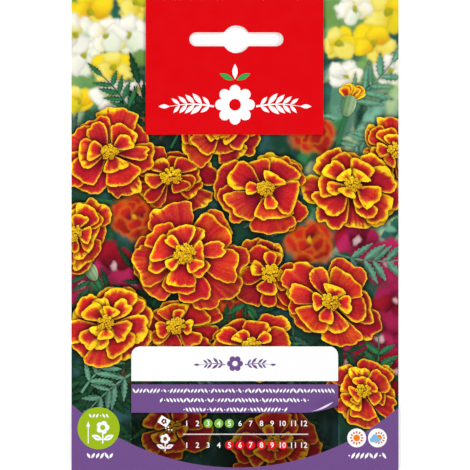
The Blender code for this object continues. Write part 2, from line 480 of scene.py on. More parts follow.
def strokes(colour, points, draw, count, region, tints, length, width, heading, blur, strength):
    """Paints soft, leaf-shaped strokes at random over a region, each over the ones before it."""
    left, foot, right, head = region
    for _ in range(count):
        centre = np.array((draw.uniform(left, right), draw.uniform(foot, head)))
        along, across = turned(points - centre, -draw.gauss(*heading)).T
        tint = tints[draw.randrange(len(tints))] * draw.uniform(0.75, 1.2)
        long, wide = draw.uniform(*length) / 2, draw.uniform(*width) / 2
        fade = draw.uniform(*blur)
        away = np.hypot(along / long, across / (wide * (1.05 - 0.5 * along / long).clip(0.3, 1.6)))
        cover = (1 - smooth(1 - fade, 1 + fade, away)) * draw.uniform(*strength)
        colour[:] = mix(colour, tint, cover)


def soft_lobe(colour, points, x, y, radius, stretch, heading, light, dark, fade, rim=None):
    """Paints one out-of-focus petal: a soft rounded lobe, lighter at its tip and towards the light."""
    away = points - (x, y)
    lit = away @ toward(LIGHT)
    along, across = turned(away, -heading).T
    out = np.hypot(along / stretch, across) / radius
    tint = mix(dark, light, smooth(-0.7, 0.4, (lit + along / stretch) / 2 / radius))
    edge = smooth(0.6, 1.05, out)
    tint = tint * (1 - 0.2 * edge)[:, None] if rim is None else mix(tint, rim, edge)
    colour[:] = mix(colour, tint, 1 - smooth(1 - fade, 1 + fade, out))


def soft_blossom(colour, points, draw, x, y, radius, tones, heart, rim, fade):
    """Paints an out-of-focus blossom of five or six broad petals round a small heart."""
    count = draw.choice((5, 6))
    first = draw.uniform(0, math.tau)
    for number in sorted(range(count), key=lambda number: draw.random()):
        light, dark = tones[draw.randrange(len(tones))]
        heading = first + math.tau * (number + draw.uniform(-0.15, 0.15)) / count
        place = (x, y) + 0.5 * radius * toward(heading) * (1, 0.85)
        size = 0.46 * radius * draw.uniform(0.85, 1.15)
        soft_lobe(colour, points, *place, size, draw.uniform(1.0, 1.25), heading, light, dark, fade, rim)
    soft_lobe(colour, points, x, y, 0.16 * radius, 1, 0, heart, heart * 0.7, 0.3)


# An out-of-focus blossom's petal tones, each light and dark, the tones of its heart and of its rims, and
# how blurred it is.
YELLOWS = (((YELLOW, GOLD * 0.8), (PRIMROSE, YELLOW * 0.8), (YELLOW, OLIVE)), OLIVE, None, 0.15)
CREAMS = (((CREAM, PALE_GREEN), (CREAM, PRIMROSE * 0.8), (CREAM, CREAM * 0.75)), OLIVE, None, 0.15)
WINES = (((MAGENTA, BURGUNDY), (CRIMSON * 0.8, WINE * 0.6), (MAGENTA * 0.7, WINE * 0.6)), PINK, None, 0.18)
EMBER_TONES = ((SCARLET * 0.7, WINE * 0.6), (SCARLET * 0.9, WINE), (SCARLET * 0.6, WINE * 0.5))
EMBERS = (EMBER_TONES, GOLD * 0.8, FLAME * 0.8, 0.35)

# Out-of-focus blossoms: x, y, radius and tones. The embers have a smaller blossom on a larger one.
PALE_PLACES = (
    (-36, 84, 7, YELLOWS),
    (-52, 80, 9, YELLOWS),
    (-39, 72, 8, CREAMS),
    (-55, 64, 7.5, CREAMS),
    (-44, 60, 7.5, YELLOWS),
    (-35, 52, 5, CREAMS),
    (-57, 49, 6, YELLOWS),
    (55, 80, 9.5, YELLOWS),
    (43, 82, 7, CREAMS),
    (38, 69, 7, YELLOWS),
    (40, 57, 6, CREAMS),
    (50, 69, 8, YELLOWS),
    (57, 60, 6.5, CREAMS),
    (-58, 72, 8, CREAMS),
    (-47, 72, 7, CREAMS),
    (-45, 50, 7, CREAMS),
)
EMBER_PLACES = ((-36, 6, 9), (-1, -25, 8), (27, -3, 9), (28, 36, 8), (-31, -50, 8), (-28, 42, 7))
RIGHT_WINES = ((44, -2, 8), (55, -10, 10), (58, -24, 9), (52, -37, 10), (41, -47, 9), (57, -50, 9))
LEFT_WINES = ((-36, -17, 7), (-55, -18, 9), (-44, -11, 9))
SOFT_BLOSSOMS = (
    *PALE_PLACES,
    *((x, y + step, radius - 3 * step, EMBERS) for x, y, radius in EMBER_PLACES for step in (0, 1)),
    *((*place, WINES) for place in RIGHT_WINES + LEFT_WINES),
)

# Soft strokes of the backdrop: how many, their region and tints, then pairs for their length, width,
# heading with its spread, blur and strength.
EVERYWHERE = (-HALF_WIDTH, -HALF_HEIGHT, HALF_WIDTH, HALF_HEIGHT)
RIGHT_SIDE = (22, -6, HALF_WIDTH, HALF_HEIGHT)
RIGHT_EDGE = (36, -2, HALF_WIDTH, 48)
UPPER_LEFT = (-HALF_WIDTH, 36, -24, HALF_HEIGHT)
DARK_TINTS = (NIGHT_GREEN, DEEP_GREEN, TEAL * 0.5, LEAF_GREEN * 0.6, BLUE_GREEN * 0.25)
PALE_TINTS = (BLUE_GREEN, BLUE_GREEN * 0.7, TEAL, PALE_GREEN * 0.85, LEAF_GREEN, DEEP_GREEN)
MISTY_TINTS = (BLUE_GREEN * 1.15, PALE_GREEN, BLUE_GREEN)
STROKES = (
    (170, EVERYWHERE, DARK_TINTS, (8, 20), (2, 4.5), (1.2, 0.7), (0.25, 0.6), (0.3, 0.7)),
    (90, RIGHT_SIDE, PALE_TINTS, (8, 22), (1.6, 4.5), (0.6, 0.7), (0.25, 0.5), (0.4, 0.85)),
    (26, RIGHT_EDGE, MISTY_TINTS, (8, 20), (1.6, 3.6), (0.5, 0.6), (0.25, 0.5), (0.6, 0.9)),
    (70, UPPER_LEFT, PALE_TINTS, (6, 16), (2, 5), (1.9, 0.6), (0.25, 0.5), (0.4, 0.85)),
)


def backdrop(points):
    """The garden behind the flowers, out of focus."""
    draw = random.Random(21)
    x, y = points.T
    ripple = np.column_stack((cloud(x / 4, y / 4, 31), cloud(x / 4, y / 4, 41)))
    points = points + (ripple - 0.5) * RIPPLE
    colour = mix(NIGHT_GREEN, DEEP_GREEN, smooth(0.25, 0.75, cloud(x / 17, y / 17, 3)))
    bright = smooth(35, 80, y) * 0.9 + smooth(20, 55, x) * smooth(-20, 40, y) * 0.7
    colour = mix(colour, TEAL, np.minimum(bright, 1) * smooth(0.1, 0.7, cloud(x / 8, y / 8, 5)))
    colour = mix(colour, SLATE, smooth(0.4, 0.8, cloud(x / 4, y / 7, 7)))
    for row in STROKES:
        strokes(colour, points, draw, *row)
    fresh = smooth(38, 60, y) * smooth(0.45, 0.65, cloud(x / 7, y / 7, 9))
    colour[:] = mix(colour, SPRING_GREEN, 0.5 * fresh)
    for *place, tones in SOFT_BLOSSOMS:
        soft_blossom(colour, points, draw, *place, *tones)
    return colour, np.zeros((len(points), 3))


class Petal:
    """Where a petal lies and how it is coloured: how warm its red is, its rim in mm, and its brightness."""

    def __init__(self, loop, base, tip, spread, draw, warm, rim, bright):
        self.loop = loop
        self.base = base
        reach = tip - base
        self.length = np.hypot(*reach)
        self.heading = math.atan2(reach[1], reach[0])
        self.spread = spread
        self.seed = draw.randrange(10000)
        self.warm = min(1.0, max(0.0, warm + draw.uniform(-0.3, 0.3)))
        self.rim = rim * draw.uniform(0.75, 1.35)
        self.bright = bright * draw.uniform(0.86, 1.1)
        self.fold = draw.uniform(-0.5, 0.5)
        self.curl = draw.uniform(0.2, 1.0)
        self.flush = draw.choice((0.0, 0.1, 0.25, 0.5))
        self.blush = draw.choice((0.0, 0.4, 1.6, 3.8)) * draw.uniform(0.6, 1.2)
        self.blush_side = draw.uniform(-0.9, 0.9)

    def light(self, along, turn):
        """The light over the petal: on its curled tip, in its folds and down at its foot."""
        facing = math.cos(self.heading - LIGHT)
        light = 1 + 0.22 * facing * self.curl * smooth(0.55, 1, along) - 0.1 * facing * (1 - along)
        light = light * (1 - 0.2 * hump(turn, self.fold, 0.14) * smooth(0.95, 0.4, along))
        light = light * (1 + 0.13 * np.sin(turn * 5 + self.seed) * smooth(0.4, 1.0, along))
        light = light * (1 + 0.22 * self.fold * np.tanh((turn - self.fold) * 4))
        return light * (1 - 0.35 * smooth(0.6, 0.1, along)) * self.bright

    def ink(self, points):
        """Red in the middle, streaked along its length, with a thin golden rim and the light across it."""
        away = points - self.base
        along = np.hypot(*away.T) / self.length
        turn = np.arctan2(away[:, 1], away[:, 0]) - self.heading
        turn = ((turn + math.pi) % math.tau - math.pi) / self.spread
        fibre = noise(turn * 9, along * 1.3, self.seed) * 0.6
        fibre = fibre + noise(turn * 23, along * 2, self.seed + 1) * 0.4
        body = mix(CRIMSON, SCARLET, self.warm * smooth(0.15, 0.95, along + (fibre - 0.5) * 0.3))
        body = mix(body, FLAME, self.flush * smooth(0.4, 1.0, along) * smooth(0.2, 0.8, fibre))
        body = mix(WINE, body, smooth(0.1, 0.7, along))
        blush = self.blush * hump(turn, self.blush_side, 0.45) * smooth(0.4, 1, along)
        uneven = 0.6 + 0.8 * noise(turn * 3.5, along * 3, self.seed + 2)
        width = self.rim * (1 + blush) * uneven * (1 + (fibre - 0.5) * (0.6 + 1.1 * blush))
        width = width * (0.5 + 0.6 * smooth(0.4, 0.95, along))
        edge = outline_distance(points, [self.loop])
        glow = 1 - smooth(width * 0.8, width * 2.3 + 0.35, edge)
        body = mix(body, FLAME, glow * 0.75 * smooth(0.2, 0.6, along))
        band = 1 - smooth(width * 0.62, width * 1.3 + 0.12, edge)
        rim = mix(FLAME, mix(GOLD, YELLOW, smooth(0.3, 0.75, fibre)), smooth(0.12, 0.45, along))
        light = self.light(along, turn)
        light = light + (1.08 - light) * 0.6 * band
        colour = mix(body, rim, band) * np.column_stack((light, light**1.5, light**0.9))
        return colour, np.column_stack((turn * 13 + self.seed, along * 2.2, 0.8 * (1 - band * 0.7)))


def petal_outline(root, reach, width, draw):
    """A fan-shaped petal that points along +X from a centre, with a waved margin and a shallow notch."""
    angle = around(int(max(26, 2.3 * (reach - root) / EDGE_STEP)))
    along = (1 - np.cos(angle)) / 2
    profile = along**0.85 * np.sqrt(1 - along**3.8)
    y = width / 2 * profile / profile.max() * np.sign(np.sin(angle))
    x = root + (reach - root) * along
    wave = 0.042 * np.sin(angle * draw.choice((3, 5, 6, 7)) + draw.uniform(0, 6.3))
    wave = wave + 0.018 * np.sin(angle * draw.choice((10, 12, 14)) + draw.uniform(0, 6.3))
    wave = wave + 0.012 * np.sin(angle * 21)
    wave = wave * smooth(0.25, 0.75, along)
    heart = root + 0.5 * (reach - root)
    x = heart + (x - heart) * (1 + wave)
    y = y * (1 + 1.2 * wave)
    notch = draw.uniform(-0.22, 0.22) * width
    depth = draw.uniform(0.0, 0.09) * (reach - root)
    x = x - smooth(0.5, 0.95, along) * depth * hump(y, notch, 0.1 * width)
    y = y + draw.uniform(-0.14, 0.14) * (x - root) ** 2 / (reach - root)
    return np.column_stack((x, y))


def seated(points, lean, tilt, x, y):
    """Turns flat points to lean away from the viewer along a direction, and puts them in place."""
    return turned(turned(points, -lean) * (tilt, 1), lean) + (x, y)


def floret_ink(centre, radius, lit, points):
    """A small tube: gold, with a darker throat."""
    away = np.hypot(*(points - centre).T) / radius
    colour = mix(AMBER, mix(GOLD, YELLOW, lit), smooth(0.15, 0.6, away))
    colour = mix(colour, FLAME * 0.8, 0.5 * smooth(0.85, 1.0, away))
    return colour * (0.8 + 0.36 * lit), np.zeros((len(points), 3))


def florets(page, draw, place, radius, count):
    """The bloom's middle: small tubes packed in a spiral, the outermost first."""
    page.depict(place(disc(0, 0, radius, 18)), flat(UMBER), 1.2, 0.4)
    golden = math.pi * (3 - math.sqrt(5))
    for number in range(count, 0, -1):
        out = 0.95 * math.sqrt(number / count)
        angle = number * golden + draw.uniform(-0.3, 0.3)
        size = radius * (0.13 + 0.09 * out) * draw.uniform(0.8, 1.3)
        rays = around(10, draw.uniform(0, 1))
        star = size * (1 + 0.28 * np.cos(rays * 5))[:, None] * toward(rays)
        loop = place(out * radius * toward(angle) + star)
        lit = 0.5 + 0.5 * math.cos(angle - LIGHT) * out + draw.uniform(-0.25, 0.25)
        lit = min(1.0, max(0.0, lit))
        page.depict(loop, partial(floret_ink, loop.mean(0), size, lit), 0.4, 0.35)


# Each ring of a bloom from the outermost: petals, reach, width and root as shares of the radius, the
# golden rim in mm, how orange the red is, and brightness.
FULL = (
    (7, 1.00, 0.76, 0.12, 0.22, 0.3, 0.94),
    (6, 0.82, 0.66, 0.12, 0.24, 0.5, 1.04),
    (6, 0.58, 0.50, 0.10, 0.34, 0.6, 1.1),
    (4, 0.38, 0.36, 0.10, 0.5, 0.8, 1.15),
)
FAR = FULL[:3]
OPEN = (
    (7, 1.00, 0.84, 0.10, 0.26, 0.35, 0.96),
    (6, 0.76, 0.70, 0.10, 0.34, 0.55, 1.06),
    (4, 0.47, 0.46, 0.08, 0.45, 0.8, 1.15),
)
GILDED = tuple((*ring[:4], ring[4] * 2.2, *ring[5:]) for ring in FULL)


def bloom(page, seed, x, y, radius, lean=90, tilt=0.9, rings=FULL, middle=0.2, bright=1.0):
    """One marigold seen from its front, leaning away along a direction in degrees."""
    draw = random.Random(seed)
    lean = math.radians(lean)
    # The inner rings stand higher, so they are seen further along the lean.
    lift = 0.16 * radius * (1 - tilt) / 0.3
    for ring, (usual, reach, width, root, rim, warm, light) in enumerate(rings):
        centre = (x, y) + lift * ring / 3 * toward(lean)
        place = partial(seated, lean=lean, tilt=tilt, x=centre[0], y=centre[1])
        count = usual + draw.choice((-1, 0, 0, 1))
        first = draw.uniform(0, math.tau)
        for number in sorted(range(count), key=lambda number: draw.random()):
            heading = first + math.tau * (number + draw.uniform(-0.34, 0.34)) / count
            long = reach * radius * draw.uniform(0.78, 1.12)
            wide = width * radius * draw.uniform(0.8, 1.15)
            if ring and draw.random() < 0.3:
                wide *= 0.6
            loop = place(turned(petal_outline(root * radius, long, wide, draw), heading))
            base, tip = place(toward(heading) * root * 0.2 * radius), place(toward(heading) * long)
            petal = Petal(loop, base, tip, wide / long / 1.3, draw, warm, rim, light * bright)
            page.depict(loop, petal.ink, 0.08 * radius + 0.5, 0.58)
    florets(page, draw, place, middle * radius, int(14 + radius * 1.2))


def leaflet_outline(length, width):
    """A narrow toothed blade that points along +X."""
    share = np.linspace(0, 1, 2 * LEAFLET_TEETH + 1)
    tooth = np.resize((0.74, 1.12), len(share))
    half = width / 2 * np.sin(math.pi * share**0.75) ** 0.85 * tooth
    forward = length * (share + np.resize((0, 0.02), len(share)))
    return ribbon(np.column_stack((forward, 0 * share)), half[:, None] * (0, 1))


def leaflet_ink(root, heading, length, width, tones, seed, points):
    """One side lighter than the other, a pale midrib and faint side veins."""
    along, across = (turned(points - root, -heading) / (length, width / 2)).T
    dark, light = tones
    grain = noise(along * 4, across * 2, seed)
    tone = 0.1 + 0.18 * np.sign(across) + 0.5 * grain + 0.3 * along
    colour = mix(dark, light, np.clip(tone, 0, 1))
    veins = 0.5 + 0.5 * np.cos((along - np.abs(across) * 0.12) * 42)
    colour = mix(colour, light * 1.15, 0.16 * smooth(0.7, 1, veins))
    colour = mix(colour, light * 1.7, 0.5 * hump(across, 0, 0.3) * smooth(1.05, 0.3, along))
    return colour, np.column_stack((across * 2 + seed, along * 7, np.full(len(points), 0.5)))


# A leaf's dark and light tones.
LEAF_TONES = (
    (DEEP_GREEN, LEAF_GREEN),
    (DEEP_GREEN * 0.7, LEAF_GREEN * 0.7),
    (LEAF_GREEN * 0.8, BLUE_GREEN * 0.8),
    (DEEP_GREEN, BLUE_GREEN * 0.75),
)


def leaf(page, seed, x, y, heading, length, tone=0, bend=0.4, light=1.0):
    """A feathered leaf: pairs of toothed leaflets along a bent stalk, and one at its end."""
    draw = random.Random(seed)
    dark, pale = (shade * light for shade in LEAF_TONES[tone])
    turns = math.radians(heading) + bend * np.linspace(0, 1, STALK_STEPS + 1)
    way = np.cumsum(toward(turns) * length / STALK_STEPS, axis=0) + (x, y)
    half = np.linspace(0.45, 0.15, STALK_STEPS + 1)[:, None]
    page.depict(ribbon(way, toward(turns + math.pi / 2) * half), flat(pale * 0.9), 0.8, 0.25)
    blades = [(1.0, 0.0, 0.42)]
    for pair in range(LEAFLET_PAIRS, 0, -1):
        share = 0.1 + 0.8 * pair / (LEAFLET_PAIRS + 0.6)
        for hand in (1, -1):
            blades.append((share, hand * draw.uniform(0.7, 1.0), 0.4 * (1.15 - 0.45 * share)))
    for share, aside, size in blades:
        step = min(STALK_STEPS, int(share * STALK_STEPS))
        long, wide = length * size * draw.uniform(0.85, 1.1), length * 0.1 * draw.uniform(0.8, 1.2)
        angle = turns[step] + aside
        loop = turned(leaflet_outline(long, wide), angle) + way[step]
        blade_ink = partial(leaflet_ink, way[step], angle, long, wide, (dark, pale), draw.randrange(9999))
        page.depict(loop, blade_ink, 0.9, 0.35)


def bud_ink(x, y, size, heading, points):
    """A ribbed green cup."""
    along, across = turned(points - (x, y), -heading).T / size
    ribs = 0.5 + 0.5 * np.cos(across * 30)
    colour = mix(LEAF_GREEN * 0.8, PALE_GREEN, np.clip(0.5 - across * 1.2, 0, 1))
    colour = mix(colour, DEEP_GREEN, 0.4 * smooth(0.6, 1, ribs))
    return colour * (1 - 0.3 * smooth(-0.2, -0.6, along))[:, None], np.zeros((len(points), 3))


def bud(page, seed, x, y, size, heading):
    """A bloom that is still closed: a tuft of short petals in a ribbed cup, on its stalk."""
    draw = random.Random(seed)
    heading = math.radians(heading)
    centre = np.array((x, y))
    stalk = box(-2.6 * size, -0.09 * size, -0.4 * size, 0.09 * size)
    page.depict(turned(stalk, heading) + centre, flat(LEAF_GREEN * 0.9), 0.8, 0.3)
    for number in range(6):
        angle = heading + (number - 2.5) * 0.2 + draw.uniform(-0.06, 0.06)
        outline = petal_outline(0.25 * size, size * draw.uniform(0.85, 1.05), 0.5 * size, draw)
        loop = turned(outline, angle) + centre
        petal = Petal(loop, centre, centre + toward(angle) * size, 0.4, draw, 0.8, 0.5, 1.0)
        page.depict(loop, petal.ink, 0.6, 0.4)
    angles = around(24)
    cup = np.column_stack((0.5 * np.cos(angles) - 0.06 * np.cos(2 * angles), 0.33 * np.sin(angles)))
    ink_of_cup = partial(bud_ink, x, y, size, heading)
    page.depict(turned(cup * size, heading) + centre, ink_of_cup, 0.8, 0.35)


# The leaves that are lit: x, y, heading in degrees, length, tone and bend.
LEAVES = (
    (-24, 30, 60, 26, 1, 0.3),
    (-58, 8, 40, 24, 1, 0.5),
    (-30, -34, 200, 26, 3, -0.4),
    (8, -4, 250, 26, 1, 0.4),
    (56, 2, 140, 26, 2, 0.5),
    (36, 44, 30, 26, 2, 0.4),
    (34, -6, -20, 26, 3, 0.5),
    (4, -26, 300, 24, 0, 0.5),
    (-58, -20, -30, 26, 0, 0.4),
    (-34, -48, 210, 22, 3, 0.3),
    (-56, -58, 60, 20, 2, -0.5),
    (-30, -62, 260, 22, 0, 0.4),
    (20, -60, 290, 22, 1, 0.3),
    (48, -62, 70, 24, 0, 0.4),
    (-6, -62, 250, 18, 1, -0.4),
    (58, 40, 200, 20, 2, 0.4),
    (-36, 40, 110, 20, 0, 0.5),
    (-50, -6, 250, 22, 1, 0.5),
)

# The buds: x, y, size and heading in degrees.
BUDS = ((41, 47, 8, 75), (-52, -13, 7, 120), (54, -54, 7, 100))

# How many leaves lie in the shade behind those, and where.
SHADED_LEAVES = 34
SHADED_LEFT, SHADED_RIGHT, SHADED_FOOT, SHADED_HEAD = -58, 42, -78, 40

# The blooms: x, y, radius, the direction in degrees and depth of their lean, their rings, the middle's
# share of the radius, and brightness.
BLOOMS = (
    (-23, 20, 16, 90, 0.78, FAR, 0.24, 0.78),
    (13, -15, 16, 70, 0.8, FAR, 0.24, 0.84),
    (-21, -34, 16, 100, 0.78, OPEN, 0.22, 0.82),
    (-5, 36, 15, 90, 0.8, OPEN, 0.22, 0.86),
    (57, 30, 13, 30, 0.8, FAR, 0.24, 0.88),
    (-57, 0, 15, 150, 0.8, OPEN, 0.2, 0.9),
    (14, -76, 17, 80, 0.86, OPEN, 0.2, 1.0),
    (-22, -70, 14, 110, 0.8, OPEN, 0.2, 0.94),
    (6, -41, 17, 90, 0.8, OPEN, 0.2, 0.94),
    (46, -57, 14, 60, 0.82, OPEN, 0.2, 0.96),
    (-45, 29, 18, 110, 0.84, OPEN, 0.17, 1.04),
    (42, 17, 19, 70, 0.84, GILDED, 0.16, 1.04),
    (34, -25, 19, 60, 0.84, OPEN, 0.17, 1.06),
    (-46, -33, 18, 120, 0.84, GILDED, 0.17, 1.06),
    (11, 16, 19, 80, 0.88, OPEN, 0.16, 1.08),
    (-18, -8, 23, 100, 0.9, FULL, 0.17, 1.12),
)


def picture(page):
    """The garden picture: leaves behind, then the blooms from the furthest to the nearest."""
    page.depict(page_box(BLEED), backdrop)
    draw = random.Random(88)
    for number in range(SHADED_LEAVES):
        x, y = draw.uniform(SHADED_LEFT, SHADED_RIGHT), draw.uniform(SHADED_FOOT, SHADED_HEAD)
        heading, length = draw.uniform(0, 360), draw.uniform(18, 28)
        tone, bend, light = draw.choice((0, 1, 1, 3)), draw.uniform(-0.5, 0.5), draw.uniform(0.3, 0.6)
        leaf(page, 400 + number, x, y, heading, length, tone, bend, light)
    for number, place in enumerate(LEAVES):
        leaf(page, 300 + number, *place)
    for number, place in enumerate(BUDS):
        bud(page, 61 + number, *place)
    for number, place in enumerate(BLOOMS):
        bloom(page, 700 + number, *place)


# The page's plain inks.
RED = ink(226, 3, 13)
PURPLE = ink(116, 81, 142)
LILAC = ink(240, 224, 242)
LIME = ink(160, 190, 28)
BARE = ink(255, 255, 255)
ORANGE = ink(243, 130, 20)
RAY = ink(206, 96, 28)
SKY = ink(132, 192, 226)
ALERT = ink(226, 16, 32)
FRESH = ink(132, 188, 66)
GREEN = ink(58, 168, 84)
SILVER = ink(226, 220, 216)
GROUND = ink(250, 246, 234)

# How the panel behind the calendar dims the picture: its red, green and blue.
DARK_VEIL = np.array((0.27, 0.22, 0.22))

# Where the printed blocks lie, and the reach and depth of the shade that each throws.
BLOCK_LEFT, BLOCK_RIGHT, BLOCK_FOOT = -32.2, 31.9, 36.2
PANEL_LEFT, PANEL_RIGHT = -37.4, 37.2
LABEL_HEAD, LABEL_FOOT, LABEL_RADIUS = -40.2, -52.7, 3.2
BAND_HEAD, BAND_FOOT = -53.9, -64.1
VEIL_HEAD = BAND_FOOT + 3
WAVE_X, WAVE_Y, WAVE_RADIUS, WAVE_STEPS = 0.7, 5.2, 89.1, 60
BLOCK_SHADE, LABEL_SHADE, BAND_SHADE = (1.4, 0.45), (1.1, 0.5), (1.0, 0.5)

# The band's curling corner, its glint, and its shadow: where it begins and is full, in x and in y, and how
# much light it leaves.
CURL_LEFT, CURL_RISE = 25.5, 2.5
GLINT_IN, GLINT_UP, GLINT_LENGTH, GLINT_RISE, GLINT_HALF = 1.7, 0.5, 8.3, 3.4, 0.42
SHADOW_X, SHADOW_Y, SHADOW_LEVEL = (26, 36), (-58, -62), 0.72

# The ornaments. A flower: x, y, radius, petals and its core's share. A spray: how far out it starts, y,
# length, pairs of leaves and their size. The crown: x, y and size.
HEAD_FLOWER = (0, 47.0, 7.2, 8, 0.3)
HEAD_SPRAY = (7.6, 46.4, 16.2, 5, 5.8)
CROWN = (0, 55.6, 5.6)
LABEL_FLOWER = (0, -46.4, 2.9, 6, 0.34)
LABEL_SPRAY = (3.6, -46.8, 9.2, 4, 3.2)
BACK_FLOWER = (0, 47.4, 6.6, 8, 0.3)

# The planting calendar: its months, the line between its rows, and the mark before each row by its x, its
# rise over the row and its size.
MONTH_X = -17.4
MONTH_STEP = 3.85
MONTH_HEIGHT = 2.0
MONTH_DISC = 1.62
SOWING_Y = -67.97
SOWING_MONTHS = range(3, 6)
FLOWERING_Y = -75.78
FLOWERING_MONTHS = range(5, 11)
LINE_LEFT, LINE_RIGHT, LINE_Y, LINE_HALF = -18.8, 26.4, -71.87, 0.2
PACKET_MARK = (-25.6, 0.75, 3.1)
PLANT_MARK = (-25.2, 0.5, 3.48)

# The round marks at the foot and what is on them: a plant and an arrow for the height, and a sun or a sun
# with a cloud. Each mark by x, y and size.
HEIGHT_X, HEIGHT_Y, HEIGHT_RADIUS = -49.2, -69.7, 7.6
HEIGHT_PLANT = (HEIGHT_X + 1.5, HEIGHT_Y - 2.0, 4.55)
ARROW_TIP = (HEIGHT_X - 3.75, HEIGHT_Y + 2.55)
ARROW_LENGTH, ARROW_HEAD = 8.0, 2.0
SUN_X, SHADE_X, SUN_Y, SUN_RADIUS = 43.9, 51.4, -73.2, 3.4
FULL_SUN = (SUN_X, SUN_Y, 2.9)
HALF_SUN = (SHADE_X + 0.5, SUN_Y, 2.7)
CLOUD = (SHADE_X - 0.7, SUN_Y - 0.3, 3.4)

# Rows of leaf marks: each by its height and its two ends. Those of the captions are a little larger.
BAND_ROWS = ((-56.2, -36.4, 36.2), (-59.6, -26.6, 26.8), (-63.0, -18.4, 18.8))
HEIGHT_ROW = (HEIGHT_Y + 4.5, HEIGHT_X - 3.0, HEIGHT_X + 4.2)
CAPTIONS, CAPTION_SIZE = ((-79.6, -52.8, -44.2), (-79.6, 41.2, 54.8)), 1.3
BACK_ROWS = ((-1.5, -50, 49), (-5.1, -50, 50), (-8.7, -50, 46), (-12.3, -50, 18))

# What only the back shows.
WINDOW = (-50, 4, 50, 32)
WINDOW_LEAVES = 9
WINDOW_BLOOMS = ((-34, 14, 12), (36, 20, 12), (18, 11, 11), (-8, 19, 15))
CORNER_RADIUS = 3
BACK_PANEL = (-31, -66, 31, -47.5)
BACK_PANEL_LEVEL = 0.55
BACK_CALENDAR_RISE = 15.3

# The sowing steps: three tiles, how far in and down and how high their numbers are, and what they show: a
# packet, an arrow down into the soil with its seeds, and two plants with arrows to each side. Arrows are
# given by their length and their head.
STEP_Y, STEP_HALF, STEP_RADIUS, STEP_APART = -30, 13, 2.5, 34
STEP_NUMBER_IN, STEP_NUMBER_DOWN, STEP_NUMBER = 3, 3.4, 4.0
SOIL = (2 - STEP_HALF, STEP_Y - 8.5, STEP_HALF - 2, STEP_Y - 1)
SEEDS_X, SEEDS_Y, SEED_LENGTH, SEED_WIDTH, SEED_TURN = (-5, 0, 5), STEP_Y - 5, 3.0, 1.0, 0.5
STEP_PACKET = (-STEP_APART - 0.6, STEP_Y, 7.0)
DEPTH_ARROW = (7, 2.6)
PLANT_ASIDE, PLANT_Y, PLANT_SIZE = 4.9, STEP_Y + 0.6, 5.0
ASIDE_ARROW_X, ASIDE_ARROW_Y, ASIDE_ARROW = 5.2, STEP_Y - 7, (5.2, 2.4)

# How far the strokes of the numbers are widened, as a share of their size.
NUMBER_WEIGHT = 0.012


def rosette(x, y, radius, petals, core):
    """A round-petalled blossom's outline with an open middle."""
    angle = around(petals * 8)
    out = radius * (0.74 + 0.26 * np.abs(np.cos(angle * petals / 2)) ** 0.7)
    return (x, y) + out[:, None] * toward(angle), disc(x, y, radius * core, 12)


def plant_mark(page, x, y, size):
    """A small blossom on a stalk with two veined leaves."""
    page.stamp(BARE, *rosette(x, y + 0.5 * size, 0.53 * size, 5, 0.4))
    page.stamp(BARE, box(x - 0.055 * size, y - 0.78 * size, x + 0.055 * size, y + 0.08 * size))
    for hand in (1, -1):
        middle, heading = (x + hand * 0.46 * size, y - 0.3 * size), hand * 0.42
        vein = pointed(*middle, 0.5 * size, 0.07 * size, heading)
        page.stamp(BARE, pointed(*middle, 0.92 * size, 0.42 * size, heading), vein)


def packet_mark(page, x, y, size):
    """A small tipped packet with seeds falling out of it."""
    sheet = box(-0.6 * size, -0.47 * size, 0.6 * size, 0.47 * size)
    loops = (sheet, *rosette(0, 0, 0.33 * size, 5, 0.34))
    page.stamp(BARE, *(turned(loop, -0.55) + (x, y) for loop in loops))
    for aside, down in ((0.2, 0.8), (0.5, 0.68), (0.54, 0.98), (0.9, 1.0)):
        page.stamp(BARE, disc(x + aside * size, y - down * size, 0.09 * size, 7))


def sun_mark(page, x, y, size, rays):
    """A sun with some of its twelve rays, numbered from the right."""
    page.stamp(ORANGE, disc(x, y, size * 0.42, 20))
    ray = box(0.56 * size, -0.095 * size, 0.83 * size, 0.095 * size)
    for number in rays:
        page.stamp(RAY, turned(ray, number * math.tau / 12) + (x, y))


def cloud_mark(page, x, y, size):
    """A cloud of three puffs on a flat foot."""
    for aside, up, radius in ((-0.36, -0.12, 0.27), (-0.08, 0.14, 0.34), (0.3, -0.1, 0.26)):
        page.stamp(SKY, disc(x + aside * size, y + up * size, radius * size, 14))
    page.stamp(SKY, box(x - 0.36 * size, y - 0.38 * size, x + 0.3 * size, y - 0.05 * size))


def arrow(page, x, y, heading, length, head):
    """An arrow with its tip at a place."""
    corners = np.array(((0, 0), (-head, 0.36 * head), (-head, -0.36 * head)))
    shaft = box(-length, -0.09 * head, -0.9 * head, 0.09 * head)
    for loop in (corners, shaft):
        page.stamp(BARE, turned(loop, heading) + (x, y))


def sprig(page, x, y, length, pairs, size, colour, hand):
    """A spray of small leaves along a rising line, outwards to the right or the left."""
    share = np.linspace(0, 1, 13)
    way = np.column_stack((hand * (x + length * share), y + 0.05 * length * np.sin(share * math.pi)))
    page.stamp(colour, ribbon(way, 0.05 * size * (1.3 - share)[:, None] * (0, 1)))
    for pair in range(pairs):
        step = 1 + int(pair * 10 / pairs)
        ahead = way[step + 1] - way[step]
        long = size * (1 - 0.45 * pair / pairs) * (0.7 if pair == 0 else 1)
        for side in (1, -1):
            heading = math.atan2(ahead[1], ahead[0]) + side * 0.75
            centre = way[step] + toward(heading) * long * 0.55
            page.stamp(colour, pointed(*centre, long, long * 0.34, heading))
    page.stamp(colour, pointed(*(way[-1] + (hand * size * 0.3, 0)), size * 0.7, size * 0.26, 0))


def crown(page, x, y, size):
    """Two green leaves that spread from a white bud."""
    for heading, colour in ((0.45, GREEN), (math.pi - 0.45, GREEN), (math.pi / 2, BARE)):
        centre = (x, y) + toward(heading) * size * 0.6
        page.stamp(colour, pointed(*centre, size, size * 0.36, heading))


